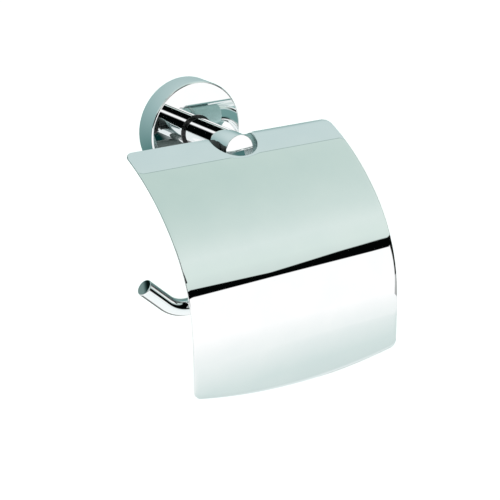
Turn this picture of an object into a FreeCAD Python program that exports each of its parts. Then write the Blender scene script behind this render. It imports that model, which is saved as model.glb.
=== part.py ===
import FreeCAD, Part
import math
import os

# Wall-mounted toilet paper holder with a hinged lid over the roll. Millimetres.
# The wall is the plane y = 0 and the holder stands out towards -Y. +Z is up and +X is to the
# right for someone facing the wall. The origin is the centre of the rose, on the wall.

V = FreeCAD.Vector
X_AXIS = V(1, 0, 0)
Y_AXIS = V(0, 1, 0)
Z_AXIS = V(0, 0, 1)
OUT = V(0, -1, 0)
UP = V(0, 0, 1)
CUT = 1.0                    # how far a cutting tool runs past the face that it opens

# Rose: the round cup against the wall, locked on the wall plate by a set screw below
ROSE_R = 30.0
ROSE_DEPTH = 15.0
ROSE_WALL = 3.0
ROSE_EDGE_R = 1.2

# Wall plate: a disc inside the rose, with a V groove round its rim for the set screw
PLATE_R = 26.4
PLATE_T = 8.0
PLATE_EYE_R = 9.0            # room for the head of the post screw
PLATE_GROOVE_Y = 5.0         # groove centre, out from the wall
PLATE_GROOVE_DEPTH = 2.0
WALL_HOLE_R = 2.25
WALL_HOLE_SPACING = 36.0
WALL_SINK_R = 4.6

# Post: a round bar out of the rose, with a rubber collar at its foot
POST_R = 9.0
POST_END = 61.0              # distance of its end face from the wall
POST_EDGE = 0.4
COLLAR_R = 10.3
COLLAR_T = 0.8
COLLAR_EDGE_R = 0.3
SLIP = 0.05                  # radial clearance of parts that slide together

# Screw, washers and dowel that hold the post on the rose
M6_R = 3.0
M6_CLEAR_R = 3.2
M6_HEAD_R = 5.0
M6_HEAD_T = 3.3
M6_SOCKET_AF = 4.0
M6_DEPTH = 12.0              # thread taken up in the post
FLAT_WASHER_R = 6.0
FLAT_WASHER_T = 1.6
SPRING_WASHER_R = 5.5
SPRING_WASHER_T = 1.6
SPRING_WASHER_GAP = 1.0
DOWEL_R = 1.5
DOWEL_Z = 6.0
DOWEL_DEPTH = 4.0

# Set screws
M5_R = 2.5
M5_TIP = 2.0                 # length of the cone point
M5_TIP_R = 0.5
M5_TIP_LIFT = 0.7            # the cone bears on the groove's sides, off its bottom
M4_R = 2.0
M4_TIP = 0.6
M4_TIP_R = 1.0
SOCKET_DEPTH = 1.8
M5_SOCKET_AF = 2.5
M4_SOCKET_AF = 2.0
SUNK = 0.4                   # how deep a set screw sits below the surface

# Roll rod: one round bar in a plane parallel to the wall. Its top leg goes through the post
# and is the lid's hinge axis; its lower leg carries the roll and turns up at the open end.
ROD_R = 5.0
AXIS_Y = -49.5
AXIS_Z = -1.5
ROD_STUB_X = -19.5
ROD_LEG_X = 56.0
ROD_BEND_R = 20.0
ROD_DROP = 90.0              # from the top leg down to the leg that carries the roll
HOOK_START_X = -28.7
HOOK_BEND_R = 22.0
HOOK_ANGLE = 41.5
HOOK_LENGTH = 18.2
ROD_CHAMFER = 0.6

# Lid: one curved sheet. Its section starts at the top edge, sloping down from the hinge, and
# each run is (length, degrees that it turns down). The last run hangs straight down.
LID_W = 136.0
LID_T = 1.0
LID_TOP_Y = -50.5
LID_TOP_Z = 6.3
LID_TOP_SLOPE = 23.0
LID_RUNS = ((4.0, 0.0), (57.5, 26.0), (53.5, 36.5), (16.5, 4.5), (26.0, 0.0))
LID_CORNER_R = 5.0
LID_BELLY = 7.0              # how far the middle of the bottom edge hangs below its ends
NOTCH_R = 14.2
NOTCH_CENTRE = 3.9           # centre of the notch's round end, along the sheet
NOTCH_CORNER_R = 1.5

# Hinge brackets: a flange under the lid and an ear that hangs down beside the post
EAR_X = 15.0                 # inner face of each ear
EAR_T = 2.0
EAR_EYE_R = 6.5
EAR_TIP_R = 3.2
FLANGE_T = 2.0
FLANGE_START = 6.0           # along the sheet, from the lid's top edge
FLANGE_LENGTH = 26.0
FLANGE_X = 33.0
STUD_X = 26.0
STUD_STATIONS = (12.0, 26.0) # along the sheet, from the lid's top edge
STUD_R = 1.5
STUD_LENGTH = 6.0
STUD_CLEAR_R = 1.7
NUT_AF = 5.5
NUT_T = 2.4
NUT_LIFT = 0.05              # a flat nut stands this far off the curved flange

# Hinge bushes: nylon sleeves between the rod and the ears. The right one runs on to the bend.
BUSH_WALL_R = 5.8
BUSH_SHOULDER_R = 6.2
BUSH_INNER_X = 9.3           # 0.3 mm off the side of the post
BUSH_OUTER_X = 18.0
BUSH_LONG_X = 35.5

# Stop pin: it swings under the post with the lid, and stops it closed and fully open
LID_TRAVEL = 90.0
STOP_REACH = 15.1            # from the hinge axis to the pin
STOP_PIN_R = 2.0
STOP_SLEEVE_R = 3.0
STOP_EYE_R = 4.4
STOP_HEAD_R = 3.2
STOP_HEAD_T = 1.0
SLEEVE_PLAY = 0.3


def rod(radius, start, length, direction):
    return Part.makeCylinder(radius, length, start, direction)


def hex_prism(across_flats, start, length, direction):
    """A six-sided prism standing on start along direction."""
    corner_r = across_flats / math.sqrt(3.0)
    corners = []
    for i in range(6):
        turn = math.radians(60.0 * i)
        corners.append(V(corner_r * math.cos(turn), corner_r * math.sin(turn), 0))
    prism = Part.Face(Part.makePolygon(corners + [corners[0]])).extrude(V(0, 0, length))
    prism.Placement = FreeCAD.Placement(start, FreeCAD.Rotation(Z_AXIS, direction))
    return prism


def set_screw(radius, tip_length, tip_r, socket_af, head, length, direction):
    """A headless screw from its socket end at head, along direction, to its tapered tip."""
    body = rod(radius, head, length - tip_length, direction)
    tip = Part.makeCone(radius, tip_r, tip_length, head + direction * (length - tip_length), direction)
    socket = hex_prism(socket_af, head - direction * CUT, SOCKET_DEPTH + CUT, direction)
    return body.fuse(tip).removeSplitter().cut(socket)


def edges_near(shape, point, reach):
    """The edges whose middle lies within reach of point."""
    found = []
    for edge in shape.Edges:
        if (edge.CenterOfMass - point).Length < reach:
            found.append(edge)
    return found


def round_edges(shape, radius, points, reach):
    """Rounds the edges found near each of the points."""
    chosen = []
    for point in points:
        chosen += edges_near(shape, point, reach)
    return shape.makeFillet(radius, chosen)


# The lid's section ---------------------------------------------------------------------------

def lid_station(distance, depth):
    """Place on the lid's section: distance along its outer face from the top edge, depth under
    that face. Gives the point at x = 0 and the slope there in degrees below the horizontal."""
    y, z, slope = LID_TOP_Y, LID_TOP_Z, LID_TOP_SLOPE
    left = distance
    for length, turn in LID_RUNS:
        part = min(left, length)
        turned = turn * part / length
        chord = part
        if turned:
            chord = 2.0 * part / math.radians(turned) * math.sin(math.radians(turned) / 2.0)
        middle = math.radians(slope + turned / 2.0)
        y -= chord * math.cos(middle)
        z -= chord * math.sin(middle)
        slope += turned
        left -= part
        if left <= 0.0:
            break
    inward = lid_inward(slope)
    return V(0, y, z) + inward * depth, slope


def lid_inward(slope):
    """Unit normal into the underside of the lid where it slopes down by slope degrees."""
    return V(0, math.sin(math.radians(slope)), -math.cos(math.radians(slope)))


def lid_edges(start, end, depth):
    """The line that runs at depth under the lid's outer face between two distances."""
    edges = []
    passed = 0.0
    for length, turn in LID_RUNS:
        first = max(start, passed)
        last = min(end, passed + length)
        passed += length
        if last <= first:
            continue
        a = lid_station(first, depth)[0]
        b = lid_station(last, depth)[0]
        if turn:
            middle = lid_station((first + last) / 2.0, depth)[0]
            edges.append(Part.Arc(a, middle, b).toShape())
        else:
            edges.append(Part.LineSegment(a, b).toShape())
    return edges


def lid_band(start, end, top, bottom, x_from, x_to):
    """A strip of the lid's curve, from depth top to depth bottom, between two x positions."""
    upper = lid_edges(start, end, top)
    lower = lid_edges(start, end, bottom)
    closing = []
    for distance in (start, end):
        a = lid_station(distance, top)[0]
        b = lid_station(distance, bottom)[0]
        closing.append(Part.LineSegment(a, b).toShape())
    outline = Part.Wire(Part.__sortEdges__(upper + lower + closing))
    strip = Part.Face(outline).extrude(V(x_to - x_from, 0, 0))
    strip.translate(V(x_from, 0, 0))
    return strip


def lid_length():
    return sum(length for length, turn in LID_RUNS)


# Fixed pieces --------------------------------------------------------------------------------

def wall_plate():
    plate = rod(PLATE_R, V(), PLATE_T, OUT)
    plate = plate.cut(rod(PLATE_EYE_R, V(0, CUT, 0), PLATE_T + 2 * CUT, OUT))
    groove_r = PLATE_R - PLATE_GROOVE_DEPTH
    rim = V(0, -PLATE_GROOVE_Y, 0)
    corners = [
        V(0, -PLATE_GROOVE_Y, groove_r),
        V(0, -PLATE_GROOVE_Y - PLATE_GROOVE_DEPTH, PLATE_R),
        V(0, -PLATE_GROOVE_Y + PLATE_GROOVE_DEPTH, PLATE_R),
    ]
    groove = Part.Face(Part.makePolygon(corners + [corners[0]])).revolve(rim, Y_AXIS, 360)
    plate = plate.cut(groove)
    sink_depth = WALL_SINK_R - WALL_HOLE_R
    for side in (-1, 1):
        hole = V(side * WALL_HOLE_SPACING / 2.0, 0, 0)
        plate = plate.cut(rod(WALL_HOLE_R, hole - OUT * CUT, PLATE_T + 2 * CUT, OUT))
        sink_start = hole + OUT * (PLATE_T - sink_depth)
        plate = plate.cut(Part.makeCone(WALL_HOLE_R, WALL_SINK_R, sink_depth, sink_start, OUT))
    return plate


def rose_cover():
    rose = rod(ROSE_R, V(), ROSE_DEPTH, OUT)
    rose = round_edges(rose, ROSE_EDGE_R, [V(0, -ROSE_DEPTH, 0)], CUT)
    rose = rose.cut(rod(ROSE_R - ROSE_WALL, V(0, CUT, 0), ROSE_DEPTH - ROSE_WALL + CUT, OUT))
    inner_face = V(0, CUT - ROSE_DEPTH + ROSE_WALL, 0)
    through = ROSE_WALL + 2 * CUT
    rose = rose.cut(rod(M6_CLEAR_R, inner_face, through, OUT))
    rose = rose.cut(rod(DOWEL_R, inner_face + UP * DOWEL_Z, through, OUT))
    screw_hole = V(0, -PLATE_GROOVE_Y, -ROSE_R - CUT)
    return rose.cut(rod(M5_R, screw_hole, ROSE_WALL + 2 * CUT, UP))


def rose_set_screw():
    head = V(0, -PLATE_GROOVE_Y, -ROSE_R + SUNK)
    length = ROSE_R - SUNK - (PLATE_R - PLATE_GROOVE_DEPTH) - M5_TIP_LIFT
    return set_screw(M5_R, M5_TIP, M5_TIP_R, M5_SOCKET_AF, head, length, UP)


def post_collar():
    ring = rod(COLLAR_R, V(0, -ROSE_DEPTH, 0), COLLAR_T, OUT)
    ring = round_edges(ring, COLLAR_EDGE_R, [V(0, -ROSE_DEPTH - COLLAR_T, 0)], CUT / 2)
    return ring.cut(rod(POST_R + SLIP, V(0, -ROSE_DEPTH + CUT, 0), COLLAR_T + 2 * CUT, OUT))


def post():
    length = POST_END - ROSE_DEPTH
    foot = V(0, -ROSE_DEPTH, 0)
    bar = rod(POST_R, foot, length, OUT)
    bar = bar.makeChamfer(POST_EDGE, edges_near(bar, V(0, -POST_END, 0), CUT))
    bar = bar.cut(rod(M6_R, foot - OUT * CUT, M6_DEPTH + 2 * CUT, OUT))
    bar = bar.cut(rod(DOWEL_R, foot + UP * DOWEL_Z - OUT * CUT, DOWEL_DEPTH + CUT, OUT))
    bore_start = V(-POST_R - CUT, AXIS_Y, AXIS_Z)
    bar = bar.cut(rod(ROD_R + SLIP, bore_start, 2 * (POST_R + CUT), X_AXIS))
    screw_start = V(0, AXIS_Y, -POST_R - CUT)
    return bar.cut(rod(M4_R, screw_start, POST_R + CUT + AXIS_Z, UP))


def post_dowel():
    return rod(DOWEL_R, V(0, -ROSE_DEPTH + ROSE_WALL, DOWEL_Z), ROSE_WALL + DOWEL_DEPTH, OUT)


def washer(outer_r, thickness, seat_y):
    ring = rod(outer_r, V(0, seat_y, 0), thickness, OUT)
    return ring.cut(rod(M6_CLEAR_R, V(0, seat_y + CUT, 0), thickness + 2 * CUT, OUT))


def washer_seat():
    """Where the flat washer's back face lies, inside the rose."""
    return -ROSE_DEPTH + ROSE_WALL + FLAT_WASHER_T


def post_flat_washer():
    return washer(FLAT_WASHER_R, FLAT_WASHER_T, washer_seat())


def post_spring_washer():
    seat = washer_seat() + SPRING_WASHER_T
    ring = washer(SPRING_WASHER_R, SPRING_WASHER_T, seat)
    split_corner = V(-SPRING_WASHER_GAP / 2.0, seat - SPRING_WASHER_T - CUT, 0)
    split = Part.makeBox(SPRING_WASHER_GAP, SPRING_WASHER_T + 2 * CUT, SPRING_WASHER_R + CUT, split_corner)
    return ring.cut(split)


def post_screw():
    under_head = washer_seat() + SPRING_WASHER_T
    head = rod(M6_HEAD_R, V(0, under_head + M6_HEAD_T, 0), M6_HEAD_T, OUT)
    socket = hex_prism(M6_SOCKET_AF, V(0, under_head + M6_HEAD_T + CUT, 0), SOCKET_DEPTH + CUT, OUT)
    shank_length = under_head + ROSE_DEPTH + M6_DEPTH
    return head.cut(socket).fuse(rod(M6_R, V(0, under_head, 0), shank_length, OUT)).removeSplitter()


def rod_bend(centre_x, centre_z, radius, start, turn):
    """A bend of the rod's centre line, from the angle start and on through turn degrees. Angles
    are taken about the bend's centre, from +X towards +Z. Gives the arc and its two ends."""
    points = []
    for share in (0.0, 0.5, 1.0):
        angle = math.radians(start + turn * share)
        x = centre_x + radius * math.cos(angle)
        z = centre_z + radius * math.sin(angle)
        points.append(V(x, AXIS_Y, z))
    return Part.Arc(*points), points[0], points[2]


def rod_path():
    """Centre line of the roll rod, from the stub left of the post to the turned-up end."""
    low_z = AXIS_Z - ROD_DROP
    bend_x = ROD_LEG_X - ROD_BEND_R
    bends = (
        rod_bend(bend_x, AXIS_Z - ROD_BEND_R, ROD_BEND_R, 90.0, -90.0),
        rod_bend(bend_x, low_z + ROD_BEND_R, ROD_BEND_R, 0.0, -90.0),
        rod_bend(HOOK_START_X, low_z + HOOK_BEND_R, HOOK_BEND_R, -90.0, -HOOK_ANGLE),
    )
    stub = V(ROD_STUB_X, AXIS_Y, AXIS_Z)
    last = stub
    pieces = []
    for arc, first, end in bends:
        pieces += [Part.LineSegment(last, first), arc]
        last = end
    rise = math.radians(HOOK_ANGLE)
    tip = last + V(-math.cos(rise), 0, math.sin(rise)) * HOOK_LENGTH
    pieces.append(Part.LineSegment(last, tip))
    return Part.Wire([piece.toShape() for piece in pieces]), stub, tip


def roll_rod():
    path, stub, tip = rod_path()
    section = Part.Wire([Part.makeCircle(ROD_R, stub, X_AXIS)])
    bar = path.makePipeShell([section], True, False)
    ends = edges_near(bar, stub, CUT) + edges_near(bar, tip, CUT)
    return bar.makeChamfer(ROD_CHAMFER, ends)


def rod_set_screw():
    head = V(0, AXIS_Y, -POST_R + SUNK)
    length = AXIS_Z - ROD_R + POST_R - SUNK
    return set_screw(M4_R, M4_TIP, M4_TIP_R, M4_SOCKET_AF, head, length, UP)


# Pieces that swing with the lid --------------------------------------------------------------

def notch_cutter():
    """A U-shaped tool, open at the lid's top edge and square to the sheet half way round."""
    centre = lid_station(NOTCH_CENTRE, 0.0)[0]
    slope = lid_station(NOTCH_CENTRE + NOTCH_R / 2.0, 0.0)[1]
    reach = LID_T + 2 * CUT
    inward = lid_inward(slope)
    round_end = rod(NOTCH_R, centre - inward * reach, 2 * reach, inward)
    open_end = Part.makeBox(2 * NOTCH_R, 2 * NOTCH_R, 2 * reach, V(-NOTCH_R, 0, -reach))
    open_end.Placement = FreeCAD.Placement(centre, FreeCAD.Rotation(X_AXIS, slope))
    return round_end.fuse(open_end)


def lid_outline_prism():
    """Everything above the curved bottom edge, as seen from the front, and the height of the
    two ends of that edge."""
    end = lid_station(lid_length(), 0.0)[0]
    half = LID_W / 2.0
    low = end.z
    high = LID_TOP_Z + CUT
    front = LID_TOP_Y - lid_length()
    side = low + LID_BELLY
    outline = [
        Part.Arc(V(-half, front, side), V(0, front, low), V(half, front, side)).toShape(),
        Part.LineSegment(V(half, front, side), V(half, front, high)).toShape(),
        Part.LineSegment(V(half, front, high), V(-half, front, high)).toShape(),
        Part.LineSegment(V(-half, front, high), V(-half, front, side)).toShape(),
    ]
    return Part.Face(Part.Wire(outline)).extrude(V(0, -front, 0)), side


def lid_panel():
    half = LID_W / 2.0
    sheet = lid_band(0.0, lid_length(), 0.0, LID_T, -half, half)
    keep, side_z = lid_outline_prism()
    sheet = sheet.common(keep).cut(notch_cutter())
    mid_depth = LID_T / 2.0
    top_middle = lid_station(0.0, mid_depth)[0]
    low_y = lid_station(lid_length(), mid_depth)[0].y
    corners = [V(side * half, top_middle.y, top_middle.z) for side in (-1, 1)]
    corners += [V(side * half, low_y, side_z) for side in (-1, 1)]
    sheet = round_edges(sheet, LID_CORNER_R, corners, LID_T)
    notch_corners = [V(side * NOTCH_R, top_middle.y, top_middle.z) for side in (-1, 1)]
    return round_edges(sheet, NOTCH_CORNER_R, notch_corners, LID_T)


def stop_centre():
    """Centre of the stop pin in the y-z plane, with the lid closed."""
    turn = math.radians(LID_TRAVEL / 2.0)
    return V(0, AXIS_Y + STOP_REACH * math.sin(turn), AXIS_Z - STOP_REACH * math.cos(turn))


def hull_plate(centre_a, radius_a, centre_b, radius_b):
    """A flat plate as thick as the ear, round at both ends, its sides tangent to both ends."""
    disc_a = rod(radius_a, centre_a, EAR_T, X_AXIS)
    disc_b = rod(radius_b, centre_b, EAR_T, X_AXIS)
    along = centre_b - centre_a
    gap = along.Length
    along.normalize()
    across = X_AXIS.cross(along)
    lean = (radius_a - radius_b) / gap
    width = math.sqrt(1.0 - lean * lean)
    corners = []
    for side in (1, -1):
        normal = along * lean + across * (side * width)
        pair = [centre_a + normal * radius_a, centre_b + normal * radius_b]
        corners += pair if side > 0 else pair[::-1]
    middle = Part.Face(Part.makePolygon(corners + [corners[0]])).extrude(X_AXIS * EAR_T)
    return disc_a.fuse([disc_b, middle]).removeSplitter()


def bracket_ear():
    """The ear of the right bracket: a triangle of plate between the hinge eye, the eye of the
    stop pin and a round tip close under the sheet."""
    axis = V(EAR_X, AXIS_Y, AXIS_Z)
    stop = stop_centre() + X_AXIS * EAR_X
    flange_end = FLANGE_START + FLANGE_LENGTH
    tip_depth = LID_T + EAR_TIP_R + SLIP
    tip = lid_station(flange_end - EAR_TIP_R, tip_depth)[0] + X_AXIS * EAR_X
    ear = hull_plate(axis, EAR_EYE_R, stop, STOP_EYE_R)
    top_side = hull_plate(axis, EAR_EYE_R, tip, EAR_TIP_R)
    low_side = hull_plate(stop, STOP_EYE_R, tip, EAR_TIP_R)
    return ear.fuse([top_side, low_side])


def hinge_bracket(side):
    """The right bracket for side 1, the left one for side -1."""
    flange_end = FLANGE_START + FLANGE_LENGTH
    flange = lid_band(FLANGE_START, flange_end, LID_T, LID_T + FLANGE_T, EAR_X, FLANGE_X)
    bracket = bracket_ear().fuse(flange).removeSplitter()
    eyes = ((V(0, AXIS_Y, AXIS_Z), BUSH_WALL_R), (stop_centre(), STOP_PIN_R))
    for centre, radius in eyes:
        bracket = bracket.cut(rod(radius, centre + X_AXIS * (EAR_X - CUT), EAR_T + 2 * CUT, X_AXIS))
    for distance in STUD_STATIONS:
        foot, slope = lid_station(distance, LID_T)
        inward = lid_inward(slope)
        hole_start = foot + X_AXIS * STUD_X - inward * CUT
        bracket = bracket.cut(rod(STUD_CLEAR_R, hole_start, FLANGE_T + 2 * CUT, inward))
    return mirrored(bracket, side)


def mirrored(shape, side):
    if side > 0:
        return shape
    return shape.mirror(V(), X_AXIS)


def hinge_bush(side):
    shoulder = rod(BUSH_SHOULDER_R, V(BUSH_INNER_X, AXIS_Y, AXIS_Z), EAR_X - BUSH_INNER_X, X_AXIS)
    length = (BUSH_LONG_X if side > 0 else BUSH_OUTER_X) - BUSH_INNER_X
    sleeve = rod(BUSH_WALL_R, V(BUSH_INNER_X, AXIS_Y, AXIS_Z), length, X_AXIS)
    hole_start = V(BUSH_INNER_X - CUT, AXIS_Y, AXIS_Z)
    bore = rod(ROD_R + SLIP, hole_start, length + 2 * CUT, X_AXIS)
    return mirrored(shoulder.fuse(sleeve).removeSplitter().cut(bore), side)


def stop_pin():
    half = EAR_X + EAR_T
    centre = stop_centre()
    pin = rod(STOP_PIN_R, centre - X_AXIS * half, 2 * half, X_AXIS)
    heads = []
    for start in (-half - STOP_HEAD_T, half):
        heads.append(rod(STOP_HEAD_R, centre + X_AXIS * start, STOP_HEAD_T, X_AXIS))
    return pin.fuse(heads).removeSplitter()


def stop_sleeve():
    half = EAR_X - SLEEVE_PLAY
    start = stop_centre() - X_AXIS * half
    tube = rod(STOP_SLEEVE_R, start, 2 * half, X_AXIS)
    return tube.cut(rod(STOP_PIN_R, start - X_AXIS * CUT, 2 * (half + CUT), X_AXIS))


def stud_places():
    """Foot and direction of each stud on the lid's underside."""
    places = []
    for x in (-STUD_X, STUD_X):
        for distance in STUD_STATIONS:
            foot, slope = lid_station(distance, LID_T)
            places.append((foot + X_AXIS * x, lid_inward(slope)))
    return places


def lid_studs():
    studs = []
    for foot, inward in stud_places():
        studs.append(rod(STUD_R, foot, STUD_LENGTH, inward))
    return Part.makeCompound(studs)


def bracket_nuts():
    nuts = []
    for foot, inward in stud_places():
        seat = foot + inward * (FLANGE_T + NUT_LIFT)
        nut = hex_prism(NUT_AF, seat, NUT_T, inward)
        nuts.append(nut.cut(rod(STUD_R, seat - inward * CUT, NUT_T + 2 * CUT, inward)))
    return Part.makeCompound(nuts)


def main():
    os.makedirs("parts", exist_ok=True)
    pieces = {
        "wall_plate": wall_plate(),
        "rose_cover": rose_cover(),
        "rose_set_screw": rose_set_screw(),
        "post_collar": post_collar(),
        "post": post(),
        "post_dowel": post_dowel(),
        "post_screw": post_screw(),
        "post_flat_washer": post_flat_washer(),
        "post_spring_washer": post_spring_washer(),
        "roll_rod": roll_rod(),
        "rod_set_screw": rod_set_screw(),
        "lid_panel": lid_panel(),
        "lid_studs": lid_studs(),
        "bracket_nuts": bracket_nuts(),
        "hinge_bracket_left": hinge_bracket(-1),
        "hinge_bracket_right": hinge_bracket(1),
        "hinge_bush_left": hinge_bush(-1),
        "hinge_bush_right": hinge_bush(1),
        "stop_pin": stop_pin(),
        "stop_sleeve": stop_sleeve(),
    }
    for name, shape in pieces.items():
        shape.exportStep(os.path.join("parts", name + ".step"))
        print(name, "valid" if shape.isValid() else "NOT VALID", len(shape.Solids), round(shape.Volume, 1))


main()
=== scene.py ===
import math

import bpy
import numpy as np
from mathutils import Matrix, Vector
from mathutils.geometry import delaunay_2d_cdt


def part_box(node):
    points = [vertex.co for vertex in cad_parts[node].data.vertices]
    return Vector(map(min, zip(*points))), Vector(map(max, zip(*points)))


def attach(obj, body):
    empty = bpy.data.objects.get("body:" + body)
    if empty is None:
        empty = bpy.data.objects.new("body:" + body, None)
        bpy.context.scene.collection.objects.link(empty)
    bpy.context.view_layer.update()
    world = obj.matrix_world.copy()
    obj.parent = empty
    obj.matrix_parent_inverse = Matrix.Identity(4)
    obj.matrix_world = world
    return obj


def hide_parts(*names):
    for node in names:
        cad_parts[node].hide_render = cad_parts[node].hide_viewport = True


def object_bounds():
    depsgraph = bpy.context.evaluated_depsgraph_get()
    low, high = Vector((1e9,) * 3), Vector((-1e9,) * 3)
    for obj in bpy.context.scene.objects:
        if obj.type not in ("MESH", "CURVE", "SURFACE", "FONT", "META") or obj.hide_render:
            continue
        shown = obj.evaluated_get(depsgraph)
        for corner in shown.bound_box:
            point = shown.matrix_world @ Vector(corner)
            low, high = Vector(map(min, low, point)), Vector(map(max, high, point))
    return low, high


# Looks of the wall-mounted toilet paper holder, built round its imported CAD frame.
# Metres, +Z up, the wall is the plane y = 0 and the holder stands out towards -Y.

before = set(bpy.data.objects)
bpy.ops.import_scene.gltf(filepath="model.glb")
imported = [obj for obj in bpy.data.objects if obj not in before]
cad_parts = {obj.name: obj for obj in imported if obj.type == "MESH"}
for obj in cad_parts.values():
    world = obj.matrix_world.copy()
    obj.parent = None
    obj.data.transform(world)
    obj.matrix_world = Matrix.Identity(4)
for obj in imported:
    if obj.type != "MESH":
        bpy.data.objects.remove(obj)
cad_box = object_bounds()

MM = 0.001
X_AXIS = Vector((1, 0, 0))
OUT = Vector((0, -1, 0))
FULL_TURN = 2 * math.pi
QUARTER = math.pi / 2

# Sizes that the boxes of the CAD nodes don't give
ROSE_EDGE_R = 1.2 * MM
ROSE_WALL = 3.0 * MM
ROSE_RIM_R = 0.3 * MM
POST_EDGE_R = 0.35 * MM
COLLAR_EDGE_R = 0.3 * MM        # of its outer front edge
COLLAR_BREAK_R = 0.075 * MM     # of its other edges
ROD_STUB_X = -19.5 * MM
ROD_BEND_R = 20.0 * MM
HOOK_START_X = -28.7 * MM
HOOK_BEND_R = 22.0 * MM
HOOK_ANGLE = math.radians(41.5)
HOOK_LENGTH = 18.2 * MM
ROD_EDGE_R = 0.6 * MM

# Lid: a curved sheet whose section starts at its top edge and goes down in runs, each of them
# (length, degrees that it turns down)
LID_TOP_Y = -50.5 * MM
LID_TOP_Z = 6.3 * MM
LID_TOP_SLOPE = 23.0
LID_RUNS = (
    (4.0 * MM, 0.0),
    (57.5 * MM, 26.0),
    (53.5 * MM, 36.5),
    (16.5 * MM, 4.5),
    (26.0 * MM, 0.0),
)
LID_LENGTH = sum(length for length, turn in LID_RUNS)
LID_T = 1.0 * MM
LID_EDGE_R = 0.4 * MM
LID_CORNER_R = 5.0 * MM
LID_BELLY = 7.0 * MM
NOTCH_R = 14.2 * MM
NOTCH_CENTRE = 3.9 * MM
NOTCH_CORNER_R = 1.5 * MM
ROLL_OVER = 0.06 * MM   # how far polishing has turned the sheet's face down at its edges
ROLL_OVER_WIDTH = 2.5 * MM

# How finely curved surfaces are divided, and the smallest lengths that count
ROSE_SEGMENTS = 192
POST_SEGMENTS = 128
ROD_SEGMENTS = 64
BEND_STEPS = 48
HOOK_STEPS = 32
FILLET_STEPS = 8
MAX_TURN = math.radians(6)
MAX_STEP = 1.5 * MM
GRID_STEP = 2.2 * MM
EDGE_ROWS = (0.7 * MM, 1.5 * MM, 2.5 * MM)      # how far in from a sheet's edge rows of points run
EDGE_STEPS = 4          # in each quarter turn of a sheet's rounded edge
TOUCHING = 0.001 * MM
SAME_POINT = 1e-9
NO_LENGTH = 1e-12
INSIDE_SHARE = 0.98     # a row's point is kept if it is this share of the row's inset from the edge

# Noise mostly stays between these values, so ramps are spread over them
NOISE_LOW = 0.3
NOISE_HIGH = 0.7
MOULDED_SPREAD = 0.06   # how far the roughness of a moulded piece goes either way

# Which finish each CAD node that stays in view has
CAD_FINISHES = {
    "zinc": ("wall_plate",),
    "steel": ("rose_set_screw", "post_dowel", "post_screw", "post_flat_washer", "post_spring_washer",
              "rod_set_screw", "lid_studs", "bracket_nuts", "hinge_bracket_left",
              "hinge_bracket_right", "stop_pin"),
    "nylon": ("hinge_bush_right",),
    # hinge_bush_left gets a near-black copy of the nylon: painted shade of its narrow gap beside the
    # post
    "black_nylon": ("hinge_bush_left",),
    "silicone": ("stop_sleeve",),
}

# Camera: lens in mm, distance in metres, and where it aims, from the middle of the CAD box
CAMERA_LENS = 116.12
CAMERA_DISTANCE = 0.9183
CAMERA_YAW = math.radians(33.387)
CAMERA_PITCH = math.radians(19.569)
CAMERA_AIM = Vector((2.46, -7.10, -12.88)) * MM

# Floor, in metres
FLOOR_HALF = 6.0
FLOOR_DROP = 0.12
FLOOR_GLOW = 0.6


def linear(red, green, blue):
    """Linear light for an sRGB colour given from 0 to 255."""
    channels = []
    for value in (red, green, blue):
        share = value / 255
        channels.append(share / 12.92 if share <= 0.04045 else ((share + 0.055) / 1.055) ** 2.4)
    return tuple(channels)


# The studio, which only shows as mirror images in the chrome and as light. Its colours run with
# degrees above the horizon: white up to the panels, which are pale green-blue.
STUDIO = (
    (-90, linear(250, 252, 252)),
    (-30, linear(255, 255, 255)),
    (15.1, linear(255, 255, 255)),
    (15.3, linear(204, 217, 213)),
    (25, linear(214, 228, 223)),
    (35, linear(216, 229, 225)),
    (60, linear(188, 208, 202)),
    (90, linear(185, 206, 200)),
)
# The dark gap at the foot of the panels, in degrees. It is narrowest at GAP_TURN and rises to
# the right of it.
GAP_TURN = 33.2
GAP_HEIGHT = 14.5
GAP_RISE = 0.55         # for each degree further round
GAP_MOST_RISE = 3.0
GAP_HALF = 1.5
GAP_SPREAD = 0.32       # of its half width, for each degree away from GAP_TURN
GAP_MOST_HALF = 2.6
GAP_SOFT = 0.5
BLACK = linear(2, 4, 4)
GLOW = 1.07
# Cards stood round the holder: degrees round from straight in front (positive to the right),
# degrees above the horizon, softness of the edges, colour
CARDS = (
    ((-112, -23), (4, 30), 3, BLACK),                       # black drape on the left
    ((-30, 24), (8, 24), 0.8, BLACK),                       # its right side
    ((-30, 28.4), (22.5, 50), 0.8, BLACK),                  # and its top
    ((38.6, 57), (-18.5, -4), 1.6, linear(165, 167, 167)),  # foot of a narrow drape
    ((38.4, 57), (-5, 20), 1.4, BLACK),                     # and the rest of it
    ((-16, -4), (-10, 60), 6, linear(255, 255, 255)),       # strip light
    ((72, 116), (-2, 40), 20, linear(6, 20, 16)),           # dark doorway on the right
    ((-190, -45), (-66, -34), 12, linear(14, 30, 30)),      # dark cloth low on the left
)

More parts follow.
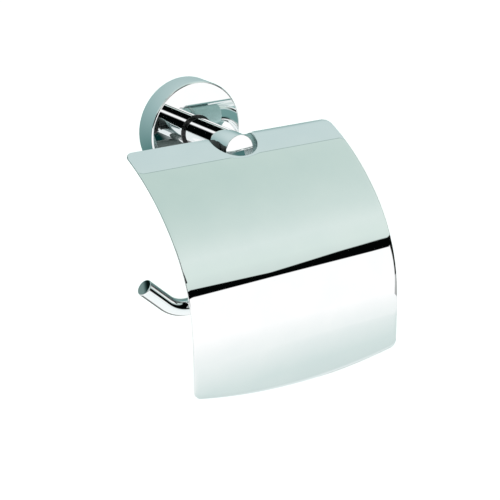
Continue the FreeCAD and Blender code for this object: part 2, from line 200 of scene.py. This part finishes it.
# The wall, which only the chrome sees: colours by height in mm, then patches laid over them, as
# mm across, mm up, softness of the edges, colour
WALL = (
    (-340, linear(230, 232, 232)),
    (-180, linear(112, 114, 114)),
    (-130, linear(96, 100, 100)),
    (-108, linear(198, 213, 209)),
    (-80, linear(180, 195, 192)),
    # from here up to 48 mm the wall is darker round the rose: painted shadow of the holder
    (-66, linear(125, 143, 140)),
    (-14, linear(86, 126, 124)),
    (20, linear(150, 178, 178)),
    (48, linear(194, 212, 212)),
    (308, linear(196, 213, 212)),
    (314, linear(135, 160, 156)),
    (320, linear(135, 160, 156)),
)
WALL_PATCHES = (
    ((48, 140), (-100, 100), 40, linear(114, 152, 150)),    # shade under the lid
    ((10, 90), (-240, -150), 24, linear(248, 250, 250)),    # light low on the right
    ((76, 185), (-158, -44), 20, BLACK),                    # black patch beside it: painted shade
    ((230, 400), (-20, 180), 30, BLACK),                    # doorway further right
    ((-430, -95), (-250, -85), 30, linear(252, 254, 254)),  # light low on the left
    ((-100, -42), (55, 150), 16, linear(16, 32, 30)),       # dark hanging above it
    ((-130, -56), (-47.5, 34), 4, linear(45, 86, 84)),      # its shaded lower part
    ((-130, -60), (-47.5, -30), 4, linear(6, 16, 13)),      # and hem
)
WALL_SIDES = (-450, 400)
BOARD_GAP = 1.0         # of the wall behind the rose, and of the table above the floor

# The table, which only the chrome sees too: colours by mm out from the wall, then patches of painted
# shadow, as mm across, mm out, softness of the edges, colour
TABLE = (
    (0, linear(246, 250, 250)),
    (285, linear(240, 246, 246)),
    # from here to 390 mm out the table is darker: painted shadow of the holder
    (315, linear(205, 218, 216)),
    (345, linear(211, 224, 222)),
    (390, linear(238, 243, 242)),
    (560, linear(255, 255, 255)),
    (900, linear(255, 255, 255)),
)
TABLE_PAINTED_SHADOWS = (
    ((200, 340), (115, 262), 24, linear(140, 177, 174)),    # pale painted shadow of the holder
    ((152, 205), (30, 215), 16, linear(76, 115, 114)),      # deeper painted shadow beside it
    ((105, 152), (30, 215), 16, linear(5, 42, 40)),         # and its darkest part
)
TABLE_SLANT = 0.1       # the colours move this far out for each mm to the right
TABLE_SIDES = (-500, 420)

# Numbers that Blender gives things: a colour mix node's sockets, and a filling that stops at the
# outline
MIX_SHARE = 0
MIX_A = 6
MIX_B = 7
MIX_RESULT = 2
INSIDE_ONLY = 1


# Meshes --------------------------------------------------------------------------------------

def new_piece(name, points, normals, faces):
    """A smooth-shaded piece whose shading normals are given at each point."""
    mesh = bpy.data.meshes.new(name)
    mesh.from_pydata(points, [], faces)
    mesh.polygons.foreach_set("use_smooth", [True] * len(mesh.polygons))
    mesh.normals_split_custom_set_from_vertices(normals)
    piece = bpy.data.objects.new(name, mesh)
    bpy.context.scene.collection.objects.link(piece)
    return piece


def rounded_profile(corners, closed=False):
    """Goes along straight lines through corners (radius, place along, fillet) and rounds them, but
    not the two ends of an open profile. Points come back as (radius, place along, normal's
    outward part, normal's part along), with the normal on the right of the direction of travel."""
    places = [Vector(corner[:2]) for corner in corners]
    fillets = [corner[2] for corner in corners]
    headings = [(b - a).normalized() for a, b in zip(places, places[1:] + places[:1])]
    profile = []
    for i, place in enumerate(places):
        before = headings[i - 1]
        after = headings[i]
        if not closed and i in (0, len(places) - 1):
            heading = before if i else after
            profile.append((place.x, place.y, heading.y, -heading.x))
            continue
        turn = math.atan2(before.x * after.y - before.y * after.x, before.dot(after))
        start = place - before * (fillets[i] * math.tan(abs(turn) / 2))
        reach = math.copysign(fillets[i], turn)
        centre = start + Vector((-before.y, before.x)) * reach
        for k in range(FILLET_STEPS + 1):
            angle = math.atan2(before.y, before.x) + turn * k / FILLET_STEPS
            normal = Vector((math.sin(angle), -math.cos(angle)))
            point = centre + normal * reach
            profile.append((point.x, point.y, normal.x, normal.y))
    return profile


def sweep(name, rings, segments, closed=False):
    """A body made of rings (centre, direction, radius, normal's outward part, normal's part along
    the direction), each a circle square to its direction. A ring of no radius is a point. A
    closed one joins its last ring to its first."""
    points = []
    normals = []
    loops = []
    for centre, direction, radius, out_part, along_part in rings:
        side, up = ring_axes(direction)
        count = segments if radius > 0 else 1
        ring = []
        for k in range(count):
            angle = FULL_TURN * k / segments
            spoke = side * math.cos(angle) + up * math.sin(angle)
            ring.append(len(points))
            points.append(centre + spoke * radius)
            normals.append(spoke * (out_part if count > 1 else 0) + direction * along_part)
        loops.append(ring)
    faces = []
    for ring_a, ring_b in zip(loops, loops[1:] + (loops[:1] if closed else [])):
        faces += bridge(ring_a, ring_b)
    return new_piece(name, points, normals, faces)


def ring_axes(direction):
    """Two spokes square to direction, which don't twist on a path parallel to the wall."""
    if direction == OUT:
        return X_AXIS, direction.cross(X_AXIS)
    return OUT.cross(direction), OUT


def bridge(ring_a, ring_b):
    """Faces between two closed rings, either of which may be a single point."""
    faces = []
    segments = max(len(ring_a), len(ring_b))
    for k in range(segments):
        after = (k + 1) % segments
        a = [ring_a[k], ring_a[after]] if len(ring_a) > 1 else ring_a
        b = [ring_b[after], ring_b[k]] if len(ring_b) > 1 else ring_b
        faces.append(a + b)
    return faces


def lathe(name, corners, segments):
    """A piece turned about the line that stands out from the wall at the origin. Its corners give
    radius, distance from the wall, and fillet. One whose profile doesn't start on the axis is a
    ring."""
    closed = corners[0][0] > 0
    rings = []
    for radius, along, out_part, along_part in rounded_profile(corners, closed):
        rings.append((OUT * along, OUT, radius, out_part, along_part))
    return sweep(name, rings, segments, closed)


# Fixed pieces --------------------------------------------------------------------------------

def make_rose():
    low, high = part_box("rose_cover")
    radius = high.x
    depth = high.y - low.y
    inner_r = radius - ROSE_WALL
    inner_depth = depth - ROSE_WALL
    corners = [
        (0.0, inner_depth, 0.0),
        (inner_r, inner_depth, ROSE_EDGE_R),
        (inner_r, 0.0, ROSE_RIM_R),
        (radius, 0.0, ROSE_RIM_R),
        (radius, depth, ROSE_EDGE_R),
        (0.0, depth, 0.0),
    ]
    rose = lathe("rose_shell", corners, ROSE_SEGMENTS)
    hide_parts("rose_cover")
    return rose


def make_collar():
    low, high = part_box("post_collar")
    post_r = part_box("post")[1].x
    start = -high.y
    end = -low.y
    corners = [
        (post_r, start, COLLAR_BREAK_R),
        (high.x, start, COLLAR_BREAK_R),
        (high.x, end, COLLAR_EDGE_R),
        (post_r, end, COLLAR_BREAK_R),
    ]
    collar = lathe("collar_ring", corners, POST_SEGMENTS)
    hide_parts("post_collar")
    return collar


def make_post():
    low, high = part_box("post")
    start = -high.y
    end = -low.y
    corners = [
        (0.0, start, 0.0),
        (high.x, start, POST_EDGE_R),
        (high.x, end, POST_EDGE_R),
        (0.0, end, 0.0),
    ]
    post = lathe("post_bar", corners, POST_SEGMENTS)
    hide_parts("post")
    return post


def bend(centre, radius, start, turn, steps):
    """Points and directions round a bend of the rod. Angles are in radians, taken about its
    centre from +X towards +Z."""
    stations = []
    for k in range(steps + 1):
        angle = start + turn * k / steps
        spoke = Vector((math.cos(angle), 0, math.sin(angle)))
        along = Vector((-math.sin(angle), 0, math.cos(angle))) * math.copysign(1, turn)
        stations.append((centre + spoke * radius, along))
    return stations


def rod_stations():
    """Centre line of the roll rod, from its stub to its turned-up end, and its radius."""
    low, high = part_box("roll_rod")
    rod_r = (high.y - low.y) / 2
    axis_y = (high.y + low.y) / 2
    top_z = high.z - rod_r
    low_z = low.z + rod_r
    bend_x = high.x - rod_r - ROD_BEND_R
    top_centre = Vector((bend_x, axis_y, top_z - ROD_BEND_R))
    low_centre = Vector((bend_x, axis_y, low_z + ROD_BEND_R))
    hook_centre = Vector((HOOK_START_X, axis_y, low_z + HOOK_BEND_R))
    stations = [(Vector((ROD_STUB_X, axis_y, top_z)), X_AXIS)]
    stations += bend(top_centre, ROD_BEND_R, QUARTER, -QUARTER, BEND_STEPS)
    stations += bend(low_centre, ROD_BEND_R, 0.0, -QUARTER, BEND_STEPS)
    stations += bend(hook_centre, HOOK_BEND_R, -QUARTER, -HOOK_ANGLE, HOOK_STEPS)
    last, along = stations[-1]
    stations.append((last + along * HOOK_LENGTH, along))
    return stations, rod_r


def make_rod():
    stations, rod_r = rod_stations()
    end = rounded_profile([(0.0, 0.0, 0.0), (rod_r, 0.0, ROD_EDGE_R), (rod_r, 2 * ROD_EDGE_R, 0.0)])
    first, first_along = stations[0]
    last, last_along = stations[-1]
    rings = []
    for radius, along, out_part, along_part in end:
        rings.append((first + first_along * along, first_along, radius, out_part, along_part))
    for centre, direction in stations[1:-1]:
        rings.append((centre, direction, rod_r, 1.0, 0.0))
    for radius, along, out_part, along_part in reversed(end):
        rings.append((last - last_along * along, last_along, radius, out_part, -along_part))
    rod = sweep("rod_bar", rings, ROD_SEGMENTS)
    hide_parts("roll_rod")
    return rod


# Plates and sheets ---------------------------------------------------------------------------

def arc(centre, radius, start, stop, outward=1):
    """Points round part of a circle between two angles in degrees, with the outline's outward
    normal at each."""
    turn = math.radians(stop - start)
    steps = max(math.ceil(abs(turn) / MAX_TURN), math.ceil(abs(turn) * radius / MAX_STEP))
    points = []
    for k in range(steps + 1):
        angle = math.radians(start) + turn * k / steps
        spoke = Vector((math.cos(angle), math.sin(angle)))
        points.append((Vector(centre) + spoke * radius, spoke * outward))
    return points


def joined(arcs):
    """A closed outline through the arcs, with points along the straight lines between them."""
    outline = []
    for i, points in enumerate(arcs):
        start, normal = points[-1]
        end = arcs[(i + 1) % len(arcs)][0][0]
        gap = (end - start).length
        outline += points if gap > TOUCHING else points[:-1]
        count = math.ceil(gap / MAX_STEP)
        for k in range(1, count):
            outline.append((start.lerp(end, k / count), normal))
    return outline


def nearest_edge(points, outline):
    """For each point, how far it is inside the closed outline (negative outside) and the unit
    vector from it to the outline's nearest place."""
    a = np.array([point for point, normal in outline])
    b = np.roll(a, -1, axis=0)
    along = b - a
    gap = points[:, None, :] - a
    share = np.clip((gap * along).sum(2) / (along * along).sum(1), 0, 1)
    offset = share[:, :, None] * along - gap
    distance = np.linalg.norm(offset, axis=2)
    best = distance.argmin(1)
    rows = np.arange(len(points))
    nearest = distance[rows, best]
    towards = offset[rows, best] / np.maximum(nearest, NO_LENGTH)[:, None]
    crossed = (a[:, 1] > points[:, None, 1]) != (b[:, 1] > points[:, None, 1])
    rise = np.where(along[:, 1] == 0, 1, along[:, 1])
    meets = a[:, 0] + along[:, 0] * (points[:, None, 1] - a[:, 1]) / rise
    odd = (crossed & (points[:, None, 0] < meets)).sum(1) % 2
    return np.where(odd == 1, nearest, -nearest), towards


def fill_points(outline):
    """Points inside an outline: rows that follow its edge, then a square grid."""
    points = []
    for inset in EDGE_ROWS:
        row = np.array([point - normal * inset for point, normal in outline])
        points.append(row[nearest_edge(row, outline)[0] > inset * INSIDE_SHARE])
    edge = np.array([point for point, normal in outline])
    low = edge.min(0)
    high = edge.max(0)
    counts = np.ceil((high - low) / GRID_STEP).astype(int)
    columns = np.linspace(low[0], high[0], counts[0] + 1)
    rows = np.linspace(low[1], high[1], counts[1] + 1)
    grid = np.array(np.meshgrid(columns, rows)).reshape(2, -1).T
    points.append(grid[nearest_edge(grid, outline)[0] > EDGE_ROWS[-1] + GRID_STEP / 2])
    return np.concatenate(points)


def filled(outline):
    """Fills an outline with points and triangles. The outline's own points come first."""
    flat = [point for point, normal in outline]
    flat += [Vector(point) for point in fill_points(outline)]
    loop = list(range(len(outline)))
    _, _, found, sources, _, _ = delaunay_2d_cdt(flat, [], [loop], INSIDE_ONLY, SAME_POINT)
    return flat, [[sources[corner][0] for corner in triangle] for triangle in found]


def sheet_solid(name, outline, thickness, edge_r, place):
    """A plate with rounded edges, cut to an outline and laid on a surface. place(point, depth)
    gives a point of the surface and its axes there: along, across, out. The edges of the plate's
    face are turned down a little."""
    face = [(point - normal * edge_r, normal) for point, normal in outline]
    flat, triangles = filled(face)
    inner, towards = nearest_edge(np.array(flat), outline)
    points = []
    normals = []
    for side in (1, -1):
        for point, distance, edgeward in zip(flat, inner, towards):
            share = max(0.0, 1 - distance / ROLL_OVER_WIDTH) if side > 0 else 0.0
            depth = ROLL_OVER * share * share if side > 0 else thickness
            tilt = 2 * ROLL_OVER * share / ROLL_OVER_WIDTH
            position, along, across, out = place(point, depth)
            points.append(position)
            outward = along * edgeward[0] + across * edgeward[1]
            normals.append((out * side + outward * tilt).normalized())
    faces = triangles + [[corner + len(flat) for corner in reversed(triangle)] for triangle in triangles]
    loop = list(range(len(face)))
    last = loop
    for k in range(1, 2 * EDGE_STEPS):
        lean = QUARTER * k / EDGE_STEPS
        depth = edge_r * (1 - math.cos(lean))
        if k > EDGE_STEPS:
            depth += thickness - 2 * edge_r
        ring = []
        for point, normal in face:
            position, along, across, out = place(point + normal * (edge_r * math.sin(lean)), depth)
            outward = along * normal.x + across * normal.y
            ring.append(len(points))
            points.append(position)
            normals.append(out * math.cos(lean) + outward * math.sin(lean))
        faces += bridge(ring, last)
        last = ring
    faces += bridge([corner + len(flat) for corner in loop], last)
    return new_piece(name, points, normals, faces)


def lid_station(distance):
    """Place on the lid's section, distance along its outer face from the top edge, and the slope
    there in radians below the horizontal."""
    y, z, slope = LID_TOP_Y, LID_TOP_Z, math.radians(LID_TOP_SLOPE)
    remaining = distance
    for length, degrees in LID_RUNS:
        part = min(remaining, length)
        turn = math.radians(degrees) * part / length
        chord = part * (math.sin(turn / 2) / (turn / 2) if turn else 1)
        y -= chord * math.cos(slope + turn / 2)
        z -= chord * math.sin(slope + turn / 2)
        slope += turn
        remaining -= part
        if remaining <= 0:
            break
    return Vector((0, y, z)), slope


def lid_place(point, depth):
    """Where a point (distance down the sheet, x) lies under the lid's outer face."""
    position, slope = lid_station(point.x)
    along = Vector((0, -math.cos(slope), -math.sin(slope)))
    out = Vector((0, -math.sin(slope), math.cos(slope)))
    return position + X_AXIS * point.y - out * depth, along, X_AXIS, out


def lid_outline():
    """The lid laid flat, as (distance down the sheet, x)."""
    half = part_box("lid_panel")[1].x
    inset = half - LID_CORNER_R
    belly_r = (half * half + LID_BELLY * LID_BELLY) / (2 * LID_BELLY)
    belly_centre = LID_LENGTH - belly_r
    low_corner = belly_centre + math.sqrt((belly_r - LID_CORNER_R) ** 2 - inset ** 2)
    fan = math.degrees(math.asin(inset / (belly_r - LID_CORNER_R)))
    notch_corner = NOTCH_R + NOTCH_CORNER_R
    return joined([
        arc((LID_CORNER_R, -inset), LID_CORNER_R, 180, 270),
        arc((low_corner, -inset), LID_CORNER_R, -90, -fan),
        arc((belly_centre, 0), belly_r, -fan, fan),
        arc((low_corner, inset), LID_CORNER_R, fan, 90),
        arc((LID_CORNER_R, inset), LID_CORNER_R, 90, 180),
        arc((NOTCH_CORNER_R, notch_corner), NOTCH_CORNER_R, 180, 270),
        arc((NOTCH_CENTRE, 0), NOTCH_R, 90, -90, -1),
        arc((NOTCH_CORNER_R, -notch_corner), NOTCH_CORNER_R, 90, 180),
    ])


def make_lid():
    lid = sheet_solid("lid_sheet", lid_outline(), LID_T, LID_EDGE_R, lid_place)
    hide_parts("lid_panel")
    return lid


PIECES = (
    (make_rose, "base", "polished_chrome"),
    (make_collar, "base", "rubber"),
    (make_post, "base", "polished_chrome"),
    (make_rod, "base", "polished_chrome"),
    (make_lid, "lid", "polished_chrome"),
)


# Materials -----------------------------------------------------------------------------------

def new_material(name, metallic):
    """A Principled material. Gives the material, its node tree and its shader."""
    material = bpy.data.materials.new(name)
    material.use_nodes = True
    tree = material.node_tree
    shader = tree.nodes["Principled BSDF"]
    shader.inputs["Metallic"].default_value = metallic
    return material, tree, shader


def noise(tree, scale, detail, stretch=(1, 1, 1)):
    """Noise in the object's own coordinates, in metres."""
    place = tree.nodes.new("ShaderNodeTexCoord")
    mapping = tree.nodes.new("ShaderNodeMapping")
    mapping.inputs["Scale"].default_value = stretch
    texture = tree.nodes.new("ShaderNodeTexNoise")
    texture.inputs["Scale"].default_value = scale
    texture.inputs["Detail"].default_value = detail
    tree.links.new(place.outputs["Object"], mapping.inputs["Vector"])
    tree.links.new(mapping.outputs["Vector"], texture.inputs["Vector"])
    return texture.outputs["Fac"]


def between(tree, value, low, high):
    """Spreads a noise value over low to high."""
    spread = tree.nodes.new("ShaderNodeMapRange")
    spread.inputs["From Min"].default_value = NOISE_LOW
    spread.inputs["From Max"].default_value = NOISE_HIGH
    spread.inputs["To Min"].default_value = low
    spread.inputs["To Max"].default_value = high
    tree.links.new(value, spread.inputs["Value"])
    return spread.outputs["Result"]


def tint(tree, value, colour_a, colour_b):
    """A colour that runs from one to the other with a noise value."""
    ramp = tree.nodes.new("ShaderNodeValToRGB")
    ramp.color_ramp.elements[0].position = NOISE_LOW
    ramp.color_ramp.elements[1].position = NOISE_HIGH
    ramp.color_ramp.elements[0].color = (*colour_a, 1)
    ramp.color_ramp.elements[1].color = (*colour_b, 1)
    tree.links.new(value, ramp.inputs["Fac"])
    return ramp.outputs["Color"]


def bump(tree, shader, value, depth):
    node = tree.nodes.new("ShaderNodeBump")
    node.inputs["Distance"].default_value = depth
    tree.links.new(value, node.inputs["Height"])
    tree.links.new(node.outputs["Normal"], shader.inputs["Normal"])


def chrome():
    """Bright chrome plate: a faint haze from wiping and a very shallow waviness."""
    material, tree, shader = new_material("polished_chrome", 1.0)
    haze = noise(tree, scale=60, detail=4)
    tree.links.new(between(tree, haze, 0.008, 0.022), shader.inputs["Roughness"])
    tree.links.new(tint(tree, haze, (0.92, 0.935, 0.94), (0.95, 0.955, 0.957)),
                   shader.inputs["Base Color"])
    bump(tree, shader, noise(tree, scale=90, detail=1), depth=0.001 * MM)
    return material


def cast_zinc():
    material, tree, shader = new_material("cast_zinc", 0.9)
    grain = noise(tree, scale=900, detail=6)
    stains = noise(tree, scale=120, detail=5)
    tree.links.new(between(tree, grain, 0.38, 0.6), shader.inputs["Roughness"])
    tree.links.new(tint(tree, stains, (0.42, 0.43, 0.44), (0.58, 0.59, 0.6)),
                   shader.inputs["Base Color"])
    bump(tree, shader, grain, depth=0.08 * MM)
    return material


def plated_steel():
    """Pressed steel with fine drawing lines along X."""
    material, tree, shader = new_material("plated_steel", 1.0)
    lines = noise(tree, scale=1500, detail=3, stretch=(0.04, 1, 1))
    stains = noise(tree, scale=200, detail=4)
    tree.links.new(between(tree, lines, 0.22, 0.4), shader.inputs["Roughness"])
    tree.links.new(tint(tree, stains, (0.36, 0.43, 0.43), (0.44, 0.51, 0.51)),
                   shader.inputs["Base Color"])
    bump(tree, shader, lines, depth=0.008 * MM)
    return material


def moulded(name, dark, light, roughness):
    """Moulded plastic or rubber, with a fine even grain."""
    material, tree, shader = new_material(name, 0.0)
    grain = noise(tree, scale=1200, detail=4)
    tree.links.new(tint(tree, grain, dark, light), shader.inputs["Base Color"])
    low = roughness - MOULDED_SPREAD
    high = roughness + MOULDED_SPREAD
    tree.links.new(between(tree, grain, low, high), shader.inputs["Roughness"])
    bump(tree, shader, grain, depth=0.03 * MM)
    return material


# Stage, light and camera ---------------------------------------------------------------------

def make_floor(material):
    """A plain floor under the holder, which the chrome doesn't mirror."""
    mesh = bpy.data.meshes.new("floor")
    corners = [(-FLOOR_HALF, -FLOOR_HALF, 0), (FLOOR_HALF, -FLOOR_HALF, 0)]
    corners += [(FLOOR_HALF, FLOOR_HALF, 0), (-FLOOR_HALF, FLOOR_HALF, 0)]
    mesh.from_pydata(corners, [], [(0, 1, 2, 3)])
    mesh.materials.append(material)
    floor = bpy.data.objects.new("floor", mesh)
    floor.location.z = cad_box[0].z - FLOOR_DROP
    floor.visible_glossy = False
    bpy.context.scene.collection.objects.link(floor)


def pale_floor():
    material, tree, shader = new_material("pale_floor", 0.0)
    shader.inputs["Base Color"].default_value = (0.9, 0.9, 0.9, 1)
    shader.inputs["Roughness"].default_value = 0.8
    shader.inputs["Emission Color"].default_value = (1, 1, 1, 1)
    shader.inputs["Emission Strength"].default_value = FLOOR_GLOW
    return material


def coordinates(tree, kind):
    """The three parts of a texture coordinate."""
    place = tree.nodes.new("ShaderNodeTexCoord")
    split = tree.nodes.new("ShaderNodeSeparateXYZ")
    tree.links.new(place.outputs[kind], split.inputs[0])
    return split.outputs["X"], split.outputs["Y"], split.outputs["Z"]


def math_node(tree, operation, *values):
    node = tree.nodes.new("ShaderNodeMath")
    node.operation = operation
    for socket, value in zip(node.inputs, values):
        if isinstance(value, (int, float)):
            socket.default_value = value
        else:
            tree.links.new(value, socket)
    return node.outputs[0]


def ramp_node(tree, value, stops):
    """A colour ramp through stops (value, colour)."""
    first = stops[0][0]
    span = stops[-1][0] - first
    share = math_node(tree, "MULTIPLY_ADD", value, 1 / span, -first / span)
    ramp = tree.nodes.new("ShaderNodeValToRGB")
    while len(ramp.color_ramp.elements) < len(stops):
        ramp.color_ramp.elements.new(1.0)
    for element, (place, colour) in zip(ramp.color_ramp.elements, stops):
        element.position = (place - first) / span
        element.color = (*colour, 1)
    tree.links.new(share, ramp.inputs["Fac"])
    return ramp.outputs["Color"]


def step(tree, value, edge, soft, low, high):
    """Goes smoothly from low to high where a value passes an edge."""
    node = tree.nodes.new("ShaderNodeMapRange")
    node.interpolation_type = "SMOOTHSTEP"
    node.inputs["From Min"].default_value = edge - soft / 2
    node.inputs["From Max"].default_value = edge + soft / 2
    node.inputs["To Min"].default_value = low
    node.inputs["To Max"].default_value = high
    tree.links.new(value, node.inputs["Value"])
    return node.outputs["Result"]


def mixed(tree, share, colour_a, colour_b):
    """colour_a where the share is 0 and the plain colour_b where it is 1."""
    mix = tree.nodes.new("ShaderNodeMix")
    mix.data_type = "RGBA"
    tree.links.new(share, mix.inputs[MIX_SHARE])
    tree.links.new(colour_a, mix.inputs[MIX_A])
    mix.inputs[MIX_B].default_value = (*colour_b, 1)
    return mix.outputs[MIX_RESULT]


def card(tree, below, across, up, placing):
    """Lays a soft-edged rectangle of one colour over a colour."""
    (left, right), (bottom, top), soft, colour = placing
    share = step(tree, across, left, soft, 0, 1)
    for value, edge, low, high in ((across, right, 1, 0), (up, bottom, 0, 1), (up, top, 1, 0)):
        share = math_node(tree, "MULTIPLY", share, step(tree, value, edge, soft, low, high))
    return mixed(tree, share, below, colour)


def dark_gap(tree, below, turn, height):
    """Lays the dark gap at the foot of the panels over a colour."""
    beyond = math_node(tree, "SUBTRACT", turn, GAP_TURN)
    rise = math_node(tree, "MULTIPLY", math_node(tree, "MAXIMUM", beyond, 0.0), GAP_RISE)
    middle = math_node(tree, "ADD", math_node(tree, "MINIMUM", rise, GAP_MOST_RISE), GAP_HEIGHT)
    away = math_node(tree, "ABSOLUTE", math_node(tree, "SUBTRACT", height, middle))
    spread = math_node(tree, "MULTIPLY", math_node(tree, "ABSOLUTE", beyond), GAP_SPREAD)
    half = math_node(tree, "MINIMUM", math_node(tree, "ADD", spread, GAP_HALF), GAP_MOST_HALF)
    inside = math_node(tree, "SUBTRACT", half, away)
    return mixed(tree, step(tree, inside, 0, GAP_SOFT, 0, 1), below, BLACK)


def make_world():
    """The studio, by direction."""
    world = bpy.data.worlds.new("studio")
    bpy.context.scene.world = world
    world.use_nodes = True
    tree = world.node_tree
    background = tree.nodes["Background"]
    x, y, z = coordinates(tree, "Generated")
    height = math_node(tree, "MULTIPLY", math_node(tree, "ARCSINE", z), math.degrees(1))
    front = math_node(tree, "MULTIPLY", y, -1)
    turn = math_node(tree, "MULTIPLY", math_node(tree, "ARCTAN2", x, front), math.degrees(1))
    colour = dark_gap(tree, ramp_node(tree, height, STUDIO), turn, height)
    for placing in CARDS:
        colour = card(tree, colour, turn, height, placing)
    tree.links.new(colour, background.inputs["Color"])
    background.inputs["Strength"].default_value = GLOW


def glowing(name):
    """A material of light alone. Gives the material, its node tree and the socket of its colour."""
    material = bpy.data.materials.new(name)
    material.use_nodes = True
    tree = material.node_tree
    glow = tree.nodes.new("ShaderNodeEmission")
    glow.inputs["Strength"].default_value = GLOW
    tree.links.new(glow.outputs["Emission"], tree.nodes["Material Output"].inputs["Surface"])
    return material, tree, glow.inputs["Color"]


def mirrored_only(name, corners, material):
    """A flat board, with corners in mm, that is seen in the chrome and nowhere else."""
    mesh = bpy.data.meshes.new(name)
    mesh.from_pydata([Vector(corner) * MM for corner in corners], [], [(0, 1, 2, 3)])
    mesh.materials.append(material)
    board = bpy.data.objects.new(name, mesh)
    board.visible_camera = False
    board.visible_diffuse = False
    board.visible_shadow = False
    bpy.context.scene.collection.objects.link(board)


def make_wall():
    material, tree, target = glowing("wall")
    x, _, z = coordinates(tree, "Object")
    across = math_node(tree, "MULTIPLY", x, 1 / MM)
    height = math_node(tree, "MULTIPLY", z, 1 / MM)
    colour = ramp_node(tree, height, WALL)
    for placing in WALL_PATCHES:
        colour = card(tree, colour, across, height, placing)
    tree.links.new(colour, target)
    left, right = WALL_SIDES
    bottom, top = WALL[0][0], WALL[-1][0]
    outline = ((left, bottom), (right, bottom), (right, top), (left, top))
    mirrored_only("wall", [(across, BOARD_GAP, up) for across, up in outline], material)


def make_table():
    material, tree, target = glowing("table")
    x, y, _ = coordinates(tree, "Object")
    across = math_node(tree, "MULTIPLY", x, 1 / MM)
    slant = math_node(tree, "MULTIPLY", x, -TABLE_SLANT)
    out = math_node(tree, "MULTIPLY", math_node(tree, "SUBTRACT", slant, y), 1 / MM)
    colour = ramp_node(tree, out, TABLE)
    for placing in TABLE_PAINTED_SHADOWS:
        colour = card(tree, colour, across, out, placing)
    tree.links.new(colour, target)
    left, right = TABLE_SIDES
    near, far = -TABLE[0][0], -TABLE[-1][0]
    height = (cad_box[0].z - FLOOR_DROP) / MM + BOARD_GAP
    outline = ((left, far), (right, far), (right, near), (left, near))
    mirrored_only("table", [(across, along, height) for across, along in outline], material)


def make_camera():
    low, high = cad_box
    data = bpy.data.cameras.new("camera")
    data.lens = CAMERA_LENS
    camera = bpy.data.objects.new("camera", data)
    bpy.context.scene.collection.objects.link(camera)
    aim = (low + high) / 2 + CAMERA_AIM
    heading = Vector((
        math.sin(CAMERA_YAW) * math.cos(CAMERA_PITCH),
        math.cos(CAMERA_YAW) * math.cos(CAMERA_PITCH),
        -math.sin(CAMERA_PITCH),
    ))
    camera.location = aim - heading * CAMERA_DISTANCE
    camera.rotation_euler = heading.to_track_quat("-Z", "Y").to_euler()
    bpy.context.scene.camera = camera


def main():
    make_camera()
    make_world()
    make_floor(pale_floor())
    make_wall()
    make_table()
    finishes = {
        "polished_chrome": chrome(),
        "zinc": cast_zinc(),
        "steel": plated_steel(),
        "nylon": moulded("nylon", (0.4, 0.56, 0.56), (0.46, 0.64, 0.64), 0.4),
        # near-black copy of the nylon for the left bush: painted shade
        "black_nylon": moulded("black_nylon", (0.014, 0.016, 0.016), (0.022, 0.025, 0.025), 0.45),
        "rubber": moulded("rubber", (0.003, 0.0035, 0.0035), (0.006, 0.0065, 0.0065), 0.22),
        "silicone": moulded("silicone", (0.16, 0.19, 0.185), (0.22, 0.25, 0.245), 0.4),
    }
    for make, body, slot in PIECES:
        piece = make()
        piece.data.materials.append(finishes[slot])
        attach(piece, body)
    for slot, names in CAD_FINISHES.items():
        for name in names:
            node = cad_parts[name]
            node.data.materials.clear()
            node.data.materials.append(finishes[slot])
    scene = bpy.context.scene
    scene.view_settings.view_transform = "Standard"


main()
